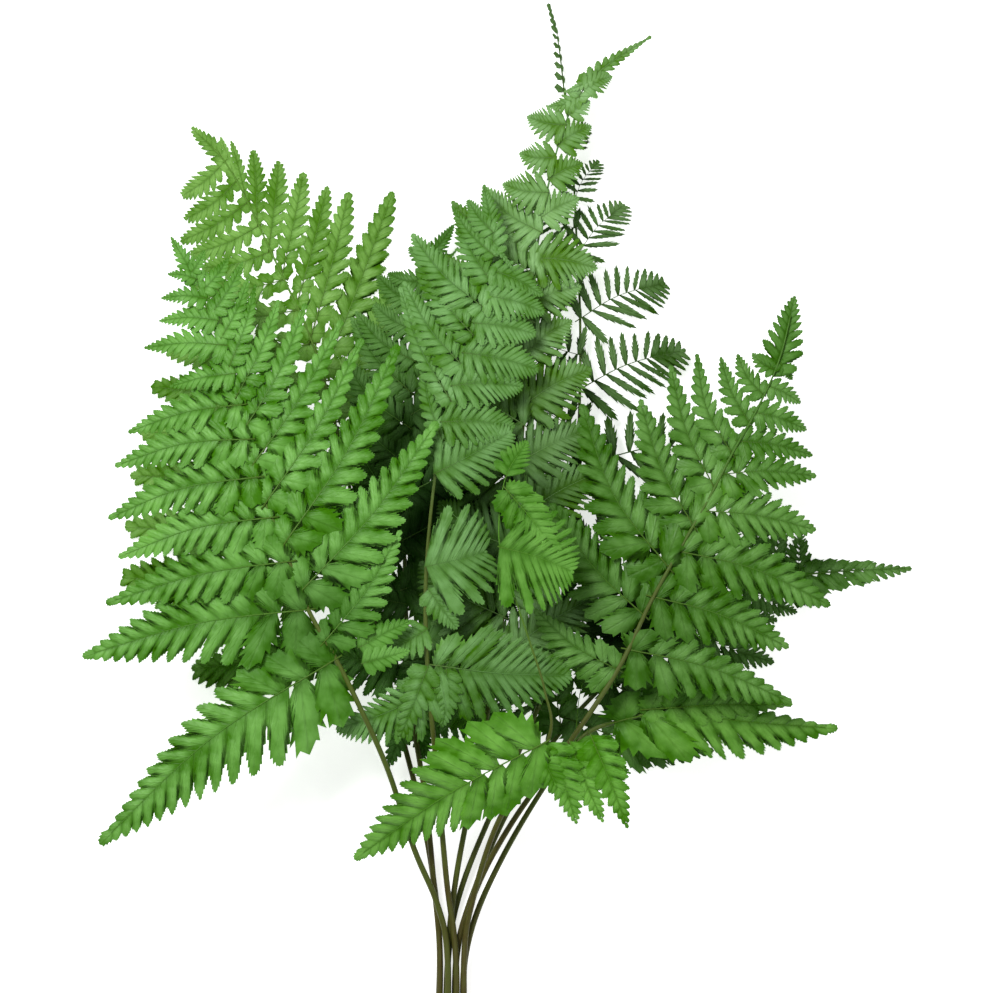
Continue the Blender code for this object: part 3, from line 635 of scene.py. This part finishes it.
def tube(points, radii, sides, groove):
    """A round tube along 3-D points: a circle of the given radius in the plane across the path.

    With a groove, the radius dips by that share on the upper side.
    """
    way = np.gradient(points, axis=0)
    way /= np.linalg.norm(way, axis=1, keepdims=True)
    side = np.cross(way, (0.0, 0.0, 1.0))
    side /= np.linalg.norm(side, axis=1, keepdims=True)
    up = np.cross(side, way)
    angle = np.linspace(0.0, 2.0 * np.pi, sides, endpoint=False)
    dip = 1.0 - groove * np.exp(-((np.angle(np.exp(1j * (angle - np.pi / 2.0))) / 0.5) ** 2))
    circle = (side[:, None] * (np.cos(angle) * dip)[None, :, None]
              + up[:, None] * (np.sin(angle) * dip)[None, :, None])
    rim = points[:, None] + circle * radii[:, None, None]
    rings = len(points)
    grid = np.arange(rings * sides).reshape(rings, sides)
    after = np.roll(grid, -1, axis=1)
    quads = np.stack([grid[:-1], after[:-1], after[1:], grid[1:]], axis=-1).reshape(-1, 4)
    low, high = rings * sides, rings * sides + 1
    start = np.stack([after[0], grid[0], np.full(sides, low), np.full(sides, low)], axis=-1)
    end = np.stack([grid[-1], after[-1], np.full(sides, high), np.full(sides, high)], axis=-1)
    all_points = np.vstack([rim.reshape(-1, 3), points[0], points[-1]])
    return all_points, quads, np.vstack([start[:, :3], end[:, :3]])


def to_part(points):
    return (points + np.array([WAIST_X, WAIST_Y, 0.0])) * MILLIMETRE


def stalk_path(frond):
    """The course of a stalk and midrib in 3-D, its radius, and each point's share of the course."""
    course = smooth_curve(frond["course"], 800)
    blade = length_of(blade_course(frond)) / length_of(course)
    end = 1.0 - 0.05 * blade
    share = np.linspace(0.0, end, STALK_RINGS)
    points = point_at(course, share)
    start = 1.0 - blade
    radius = np.interp(share, [0.0, start, start + NARROWED * blade, end], MIDRIB_RADII)
    radius = radius * (1.0 - (1.0 - frond["slim"]) * smooth_step((share - start + 0.02) / 0.05))
    early, depth = frond["sink"]
    sunk = depth * smooth_step((share - start + early) / 0.1)
    height = middle_height(frond, points[:, 0], points[:, 1]) - sunk
    height = np.where(points[:, 1] > 0.0, np.maximum(height, radius + 0.15), height)
    return np.column_stack([points, height]), radius, share


def rib_path(frond, leaflet):
    """The course of a leaflet's rib in 3-D, in the valley between its pinnules."""
    t = np.linspace(0.0, 0.96, RIB_RINGS)
    points = point_at(leaflet["rib"], t)
    own = (leaflet["root_own"] + (leaflet["tip_own"] - leaflet["root_own"]) * t
           + 4.0 * leaflet["lift"] * t * (1.0 - t))
    height = leaf_height(frond, points[:, 0], points[:, 1], own, 0.0)
    return np.column_stack([points, height]), t


# Meshes and materials

def new_mesh_object(name, points, *faces):
    """A mesh object at the origin, from whole arrays of points and of faces with as many corners."""
    mesh = bpy.data.meshes.new(name)
    corners = np.concatenate([f.ravel() for f in faces])
    sizes = np.concatenate([np.full(len(f), f.shape[1]) for f in faces])
    starts = np.concatenate([[0], np.cumsum(sizes)[:-1]])
    mesh.vertices.add(len(points))
    mesh.vertices.foreach_set("co", to_part(points).astype(np.float32).ravel())
    mesh.loops.add(len(corners))
    mesh.loops.foreach_set("vertex_index", corners.astype(np.int32))
    mesh.polygons.add(len(sizes))
    mesh.polygons.foreach_set("loop_start", starts.astype(np.int32))
    mesh.update(calc_edges=True)
    mesh.validate()
    mesh.shade_smooth()
    obj = bpy.data.objects.new(name, mesh)
    bpy.context.scene.collection.objects.link(obj)
    return obj


def set_uv(obj, name, places):
    """Writes each point's place to a UV map of that name."""
    mesh = obj.data
    layer = mesh.uv_layers.new(name=name)
    corner = np.empty(len(mesh.loops), np.int32)
    mesh.loops.foreach_get("vertex_index", corner)
    layer.data.foreach_set("uv", places[corner].astype(np.float32).ravel())


def set_attribute(obj, name, values):
    attribute = obj.data.attributes.new(name, "FLOAT", "POINT")
    attribute.data.foreach_set("value", np.asarray(values, np.float32))


def sharpen_outline(obj, marks):
    """Marks a shell's outline sharp, so that its two faces are shaded apart."""
    mesh = obj.data
    ends = np.empty(2 * len(mesh.edges), np.int32)
    mesh.edges.foreach_get("vertices", ends)
    rim = marks[ends.reshape(-1, 2)].all(axis=1)
    sharp = mesh.attributes.new("sharp_edge", "BOOLEAN", "EDGE")
    sharp.data.foreach_set("value", rim)


class Wire:
    """A socket in a shader, on which Python's operators add Math nodes."""

    def __init__(self, shader, socket):
        self.shader, self.socket = shader, socket

    def _math(self, operation, *values):
        return self.shader.node("ShaderNodeMath", {"operation": operation}, dict(enumerate(values)))

    def __add__(self, other):
        return self._math("ADD", self, other)

    def __sub__(self, other):
        return self._math("SUBTRACT", self, other)

    def __rsub__(self, other):
        return self._math("SUBTRACT", other, self)

    def __mul__(self, other):
        return self._math("MULTIPLY", self, other)

    __radd__ = __add__
    __rmul__ = __mul__

    def sine(self):
        return self._math("SINE", self)

    def size(self):
        return self._math("ABSOLUTE", self)

    def clamped(self):
        return self.shader.node("ShaderNodeClamp", {}, {0: self})


class Shader:
    """A material's node tree, with one way to add a node."""

    def __init__(self, name):
        self.material = bpy.data.materials.new(name)
        self.material.use_nodes = True
        self.tree = self.material.node_tree
        self.principled = self.tree.nodes["Principled BSDF"]

    def node(self, kind, settings, values, output=0):
        """Adds a node of that kind, sets its settings, then its sockets' values or links."""
        node = self.tree.nodes.new(kind)
        for key, value in settings.items():
            setattr(node, key, value)
        for key, value in values.items():
            self.put(node.inputs[key], value)
        return Wire(self, node.outputs[output])

    def put(self, socket, value):
        if isinstance(value, Wire):
            self.tree.links.new(value.socket, socket)
        else:
            socket.default_value = value

    def set(self, **values):
        for key, value in values.items():
            self.put(self.principled.inputs[key.replace("_", " ")], value)

    def mix(self, factor, first, second):
        return self.node("ShaderNodeMix", {"data_type": "RGBA"}, {0: factor, 6: first, 7: second}, output=2)

    def noise(self, place, scale, detail):
        return self.node("ShaderNodeTexNoise", {}, {"Vector": place, "Scale": scale, "Detail": detail})


def rgba(colour, factor=1.0):
    return tuple(min(c * factor, 1.0) for c in colour) + (1.0,)


def leaf_material(name, colour, looks):
    """Satin leaf: green that varies by pinnule and in soft patches, with painted sheen, painted light
    shining through the edges and painted shade, and with a midvein and side veins.
    """
    s = Shader(name)
    mark = s.node("ShaderNodeUVMap", {"uv_map": "pinnule"}, {})
    u = s.node("ShaderNodeSeparateXYZ", {}, {0: mark}, 0)
    v = s.node("ShaderNodeSeparateXYZ", {}, {0: mark}, 1)
    tone = s.node("ShaderNodeAttribute", {"attribute_name": "tone"}, {}, 2)
    joined = s.node("ShaderNodeAttribute", {"attribute_name": "joined"}, {}, 2)
    dim = s.node("ShaderNodeAttribute", {"attribute_name": "dim"}, {}, 2)
    place = s.node("ShaderNodeTexCoord", {}, {}, 3)
    patch = s.noise(place, 30.0, 3.0)
    cloud = s.noise(place, 120.0, 2.0)
    fine = s.noise(place, 500.0, 3.0)

    # Where veins, the edge and the middle of a pinnule are
    across = u.size()
    midvein = (1.0 - across * 7.0).clamped() * (0.6 - joined * 0.3)
    wave = ((v - across * 0.5) * 24.0).sine()
    sidevein = (wave - 0.3).clamped() * (1.0 - across * 0.8).clamped()
    edge = (across * 0.8 + v * 0.5 - 0.75).clamped()
    middle = ((v * 3.4).clamped() * (1.15 - v).clamped() * (1.2 - across) * 1.5).clamped()

    # Green from dark to light by random tone, by noise patches that are partly mottling and partly painted
    # sheen, and by painted sheen in each pinnule's middle; painted light shining through at the edges;
    # painted shade at seams, at roots and deep in the bunch
    tone_sheen_and_shade = (tone * 0.28 + (patch - 0.5) * 2.0 + (cloud - 0.5) * 1.3 + middle * 0.5 + 0.18).clamped()
    # The dark green is saturated and partly painted shade; the light green is a painted sheen, a whitish
    # veil over the leaf's green
    dark = (colour[0] * 0.45, colour[1] * 0.62, 0.0)
    light = (colour[0] * 1.3 + 0.040, colour[1] * 1.25 + 0.050, colour[2] * 1.2 + 0.048)
    green = s.mix(tone_sheen_and_shade, rgba(dark), rgba(light))
    # Painted light shining through the leaf, yellower and brighter towards the edges and in patches
    lit_through_green = (colour[0], colour[1] * 1.15, colour[2] * 0.15)
    green = s.mix((edge * 0.5 + (patch - 0.6) * 1.6).clamped(), green, rgba(lit_through_green))
    green = s.mix((midvein * 0.3 + sidevein * 0.06).clamped(), green, rgba(colour, 0.45))
    # Painted shade in the creases between joined lobes and at the pinnules' roots near the rib
    seam_shade = ((across - 0.78) * 4.0).clamped() * (1.1 - v * 1.2).clamped() * joined
    root_shade = (1.0 - v * 4.0).clamped() * (1.0 - joined * 0.6)
    green = s.mix((seam_shade * 0.45 + root_shade * 0.35).clamped(), green, rgba(colour, 0.3))
    # Painted shade deep in the bunch and in each frond's shaded spots
    green = s.mix(dim, green, rgba((colour[0] * 0.03, colour[1] * 0.1, 0.0)))
    height = sidevein * -0.3 + midvein * -0.8 + fine * 0.15 + cloud * 1.6
    bump = s.node("ShaderNodeBump", {}, {"Strength": looks.vein_depth, "Distance": 0.0009, "Height": height})
    roughness = (0.42 + fine * 0.1 - cloud * 0.12 + dim * 0.5).clamped()
    s.set(Base_Color=green, Roughness=roughness, Normal=bump, Specular_IOR_Level=0.15)
    return s.material


def stalk_material(name, green, brown, leaf, greener):
    """Smooth stalk: brown near its foot and green towards the tip, with fine streaks along it."""
    s = Shader(name)
    mark = s.node("ShaderNodeUVMap", {"uv_map": "stalk"}, {})
    along = s.node("ShaderNodeSeparateXYZ", {}, {0: mark}, 0)
    around = s.node("ShaderNodeSeparateXYZ", {}, {0: mark}, 1)
    stretched = s.node("ShaderNodeCombineXYZ", {}, {0: along * 60.0, 1: around * 14.0})
    streak = s.noise(stretched, 1.0, 4.0)
    place = s.node("ShaderNodeTexCoord", {}, {}, 3)
    patch = s.noise(place, 55.0, 3.0)
    greened = (along * 2.4 + (patch - 0.5) * 1.3 - 0.2 + greener).clamped()
    base = s.mix(greened, rgba(brown), rgba(green))
    base = s.mix((streak - 0.35).clamped() * 0.9, base, rgba(green, 1.5))
    ribs = s.mix(streak, rgba(leaf, 0.55), rgba(leaf, 1.0))
    base = s.mix((along * 5.0 - 3.1).clamped(), base, ribs)
    cut = s.node("ShaderNodeAttribute", {"attribute_name": "cut"}, {}, 2)
    base = s.mix(cut, base, rgba((0.42, 0.46, 0.22)))
    bump = s.node("ShaderNodeBump", {}, {"Strength": 0.5, "Distance": 0.0004, "Height": streak})
    s.set(Base_Color=base, Roughness=(0.4 + streak * 0.2).clamped(), Normal=bump, Specular_IOR_Level=0.25)
    return s.material


def plain_material(name, colour, roughness):
    """One colour with a fine grain."""
    s = Shader(name)
    place = s.node("ShaderNodeTexCoord", {}, {}, 3)
    grain = s.noise(place, 900.0, 3.0)
    s.set(Base_Color=s.mix(grain, rgba(colour, 0.85), rgba(colour, 1.15)), Roughness=roughness)
    s.set(Normal=s.node("ShaderNodeBump", {}, {"Strength": 0.2, "Distance": 0.0002, "Height": grain}))
    return s.material


# The studio, in metres: each lamp's name, place, power in watts and side, the light from all round, the
# floor's own glow and its depth below the part, and the height at which the view's width is measured
LAMPS = (("key", (-0.8, 1.0, 1.9), 46.0, 0.8), ("fill", (1.3, -0.6, 1.6), 9.0, 1.4))
SKY_LIGHT = 0.26
FLOOR_GLOW = 0.7
FLOOR_DEPTH = 0.0004
MIDDLE_HEIGHT = 0.035
SENSOR_WIDTH = 36.0


# What a user can change

class FernSizes(bpy.types.PropertyGroup):
    """Sizes of the fine leaf parts."""

    leaflet_spacing: bpy.props.FloatProperty(
        name="Leaflet spacing", description="Step between leaflets, as a factor of the usual one",
        default=1.0, min=0.5, max=2.0)
    pinnule_spacing: bpy.props.FloatProperty(
        name="Pinnule spacing", description="Step between pinnules, as a factor of the usual one",
        default=1.0, min=0.5, max=2.0)


class FernLooks(bpy.types.PropertyGroup):
    """Finish of leaves and stalks."""

    vein_depth: bpy.props.FloatProperty(
        name="Vein depth", description="Strength of the veins on the leaves", default=0.6, min=0.0, max=1.0)
    stalk_green: bpy.props.FloatVectorProperty(
        name="Stalk green", description="Colour of a stalk towards its tip", subtype="COLOR",
        default=(0.070, 0.105, 0.012), min=0.0, max=1.0)
    stalk_brown: bpy.props.FloatVectorProperty(
        name="Stalk brown", description="Colour of a stalk near its foot", subtype="COLOR",
        default=(0.062, 0.048, 0.008), min=0.0, max=1.0)
    band_colour: bpy.props.FloatVectorProperty(
        name="Band colour", description="Colour of the band", subtype="COLOR",
        default=(0.36, 0.24, 0.12), min=0.0, max=1.0)


class StudioSettings(bpy.types.PropertyGroup):
    """Floor, light and camera."""

    camera_height: bpy.props.FloatProperty(
        name="Camera height", description="Height of the camera above the floor", default=7.0, unit="LENGTH")
    view_width: bpy.props.FloatProperty(
        name="View width", description="Width of what the camera sees", default=0.5263, unit="LENGTH")
    floor_colour: bpy.props.FloatVectorProperty(
        name="Floor colour", description="Colour of the floor", subtype="COLOR", default=(0.9, 0.9, 0.9),
        min=0.0, max=1.0)


def dimness(frond, place):
    """How much painted shade each point gets: the strongest of the bell curves round the frond's dim spots.
    """
    dim = np.zeros(len(place))
    spots = [(x, y, reach, DIMMED[frond["layer"]] * strength) for x, y, reach, strength in DIM_SPOTS]
    for x, y, reach, strength in (*spots, *frond["shaded"]):
        far = np.hypot(place[:, 0] - x, place[:, 1] - y) / reach
        dim = np.maximum(dim, strength * np.exp(-(far**2)))
    return np.minimum(dim, 1.0)


def make_leaves(name, frond, leaflets, sizes, looks, draw):
    """All pinnules of one frond, as thin closed shells in one mesh."""
    rows = np.vstack([pinnules_of(leaflet, frond, sizes, draw) for leaflet in leaflets])
    length = rows[:, PINNULE_FIELDS.index("length")]
    above, first, parts = np.inf, 0, []
    for shortest, samples, rings in GRADES:
        chosen = rows[(length >= shortest) & (length < above)]
        above = shortest
        if not len(chosen):
            continue
        points, quads, marks, tones, joins = pinnule_shells(frond, chosen, samples, rings)
        edge = grid_edge(len(rings), samples)
        rim = np.concatenate([edge.ravel(), np.zeros((~edge).sum(), bool)])
        parts.append((points, quads + first, marks, tones, joins, np.tile(rim, len(chosen))))
        first += len(points)
    place, quads, marks, tones, joins, rims = map(np.concatenate, zip(*parts))
    leaves = new_mesh_object(name + "_leaves", place, quads)
    set_uv(leaves, "pinnule", marks)
    set_attribute(leaves, "tone", tones)
    set_attribute(leaves, "joined", joins)
    set_attribute(leaves, "dim", dimness(frond, place))
    sharpen_outline(leaves, rims)
    leaves.data.materials.append(leaf_material(name + "_leaf", frond["colour"], looks))
    return leaves


def marked_tube(path, radii, along, sides, groove):
    """A tube, each point's place along and around it, and each point's mark of a cut face, which is 0."""
    points, quads, triangles = tube(path, radii, sides, groove)
    places = np.column_stack([
        np.concatenate([np.repeat(along, sides), along[:1], along[-1:]]),
        np.concatenate([np.tile(np.arange(sides) / sides, len(along)), [0.5, 0.5]])])
    return points, quads, triangles, places, np.zeros(len(points))


def make_stalk(name, frond, leaflets, looks, greener):
    """The stalk, the midrib and the leaflets' ribs of one frond, as round tubes in one mesh."""
    path, radius, share = stalk_path(frond)
    parts = [marked_tube(path, radius, share, STALK_SIDES, GROOVE)]
    # The foot's middle point is next to last, and shows the cut face
    parts[0][-1][-2] = 1.0
    for leaflet in leaflets:
        path, t = rib_path(frond, leaflet)
        thick = RIB_RADIUS * np.clip(length_of(leaflet["rib"]) / RIB_LENGTH, 0.5, 1.2)
        parts.append(marked_tube(path, thick * (1.0 - 0.75 * t), 0.7 + 0.3 * t, RIB_SIDES, 0.0))
    points, quads, triangles, places, cuts = zip(*parts)
    firsts = np.cumsum([0] + [len(part) for part in points[:-1]])
    quads = [faces + first for faces, first in zip(quads, firsts)]
    triangles = [faces + first for faces, first in zip(triangles, firsts)]
    stalk = new_mesh_object(name + "_stalk", np.vstack(points), np.vstack(quads), np.vstack(triangles))
    set_uv(stalk, "stalk", np.vstack(places))
    set_attribute(stalk, "cut", np.concatenate(cuts))
    stalk.data.materials.append(stalk_material(
        name + "_stalk", looks.stalk_green, looks.stalk_brown, frond["colour"], greener))
    return stalk


class FERN_OT_fronds(bpy.types.Operator):
    """Build the ten fronds, each as its leaves and its stalk"""

    bl_idname = "fern.fronds"
    bl_label = "Fronds"

    def execute(self, context):
        sizes, looks = context.scene.fern_sizes, context.scene.fern_looks
        for i, (node, own) in enumerate(FRONDS.items()):
            frond = {**COMMON, **own}
            draw = np.random.default_rng(SEED + i)
            name = node.replace("frond_", "")
            leaflets = leaflets_of(frond, sizes, draw)
            leaves = make_leaves(name, frond, leaflets, sizes, looks, draw)
            stalk = make_stalk(name, frond, leaflets, looks, 0.35 * (i % 3 - 1))
            for piece in (leaves, stalk):
                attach(piece, "root")
                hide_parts(node)
        return {"FINISHED"}


class FERN_OT_band(bpy.types.Operator):
    """Give the band its rubber finish"""

    bl_idname = "fern.band"
    bl_label = "Band"

    def execute(self, context):
        looks = context.scene.fern_looks
        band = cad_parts["tie_band"]
        band.data.materials.clear()
        band.data.materials.append(plain_material("band_rubber", looks.band_colour, 0.55))
        return {"FINISHED"}


class FERN_OT_studio(bpy.types.Operator):
    """Set the floor, the soft light and the camera that looks straight down"""

    bl_idname = "fern.studio"
    bl_label = "Studio"

    def execute(self, context):
        settings = context.scene.fern_studio
        scene = context.scene
        bpy.ops.mesh.primitive_plane_add(size=40.0, location=(0.0, 0.0, -FLOOR_DEPTH))
        floor = context.object
        floor.name = "floor"
        shader = Shader("floor")
        shader.set(Base_Color=rgba(settings.floor_colour), Roughness=0.9, Specular_IOR_Level=0.1)
        shader.set(Emission_Color=rgba((1.0, 1.0, 1.0)), Emission_Strength=FLOOR_GLOW)
        floor.data.materials.append(shader.material)

        world = bpy.data.worlds.new("studio")
        world.use_nodes = True
        sky = world.node_tree.nodes["Background"]
        sky.inputs["Color"].default_value = (1.0, 1.0, 1.0, 1.0)
        sky.inputs["Strength"].default_value = SKY_LIGHT
        scene.world = world

        for name, place, power, side in LAMPS:
            light = bpy.data.lights.new(name, "AREA")
            light.energy = power
            light.size = side
            lamp = bpy.data.objects.new(name, light)
            scene.collection.objects.link(lamp)
            lamp.location = place
            lamp.rotation_euler = (-Vector(place)).to_track_quat("-Z", "Y").to_euler()
            lamp.visible_camera = False

        data = bpy.data.cameras.new("camera")
        camera = bpy.data.objects.new("camera", data)
        scene.collection.objects.link(camera)
        centre_x = WAIST_X + PHOTO_CENTRE[0]
        centre_y = WAIST_Y + PHOTO_CENTRE[1]
        camera.location = (centre_x * MILLIMETRE, centre_y * MILLIMETRE, settings.camera_height)
        data.sensor_width = SENSOR_WIDTH
        data.lens = SENSOR_WIDTH * (settings.camera_height - MIDDLE_HEIGHT) / settings.view_width
        data.clip_end = 50.0
        scene.camera = camera
        scene.view_settings.view_transform = "Standard"
        return {"FINISHED"}


class FERN_PT_panel(bpy.types.Panel):
    """Lists the steps and their settings"""

    bl_label = "Fern Bunch"
    bl_idname = "FERN_PT_panel"
    bl_space_type = "VIEW_3D"
    bl_region_type = "UI"
    bl_category = "Fern"

    def draw(self, context):
        for operator in OPERATORS:
            self.layout.operator(operator.bl_idname)
        for group in (context.scene.fern_sizes, context.scene.fern_looks, context.scene.fern_studio):
            for name in group.__annotations__:
                self.layout.prop(group, name)


OPERATORS = (FERN_OT_fronds, FERN_OT_band, FERN_OT_studio)
CLASSES = (FernSizes, FernLooks, StudioSettings, *OPERATORS, FERN_PT_panel)


def register():
    for cls in CLASSES:
        bpy.utils.register_class(cls)
    bpy.types.Scene.fern_sizes = bpy.props.PointerProperty(type=FernSizes)
    bpy.types.Scene.fern_looks = bpy.props.PointerProperty(type=FernLooks)
    bpy.types.Scene.fern_studio = bpy.props.PointerProperty(type=StudioSettings)


def unregister():
    del bpy.types.Scene.fern_studio
    del bpy.types.Scene.fern_looks
    del bpy.types.Scene.fern_sizes
    for cls in reversed(CLASSES):
        bpy.utils.unregister_class(cls)


def main():
    register()
    bpy.ops.fern.fronds()
    bpy.ops.fern.band()
    bpy.ops.fern.studio()


if __name__ == "__main__":
    main()
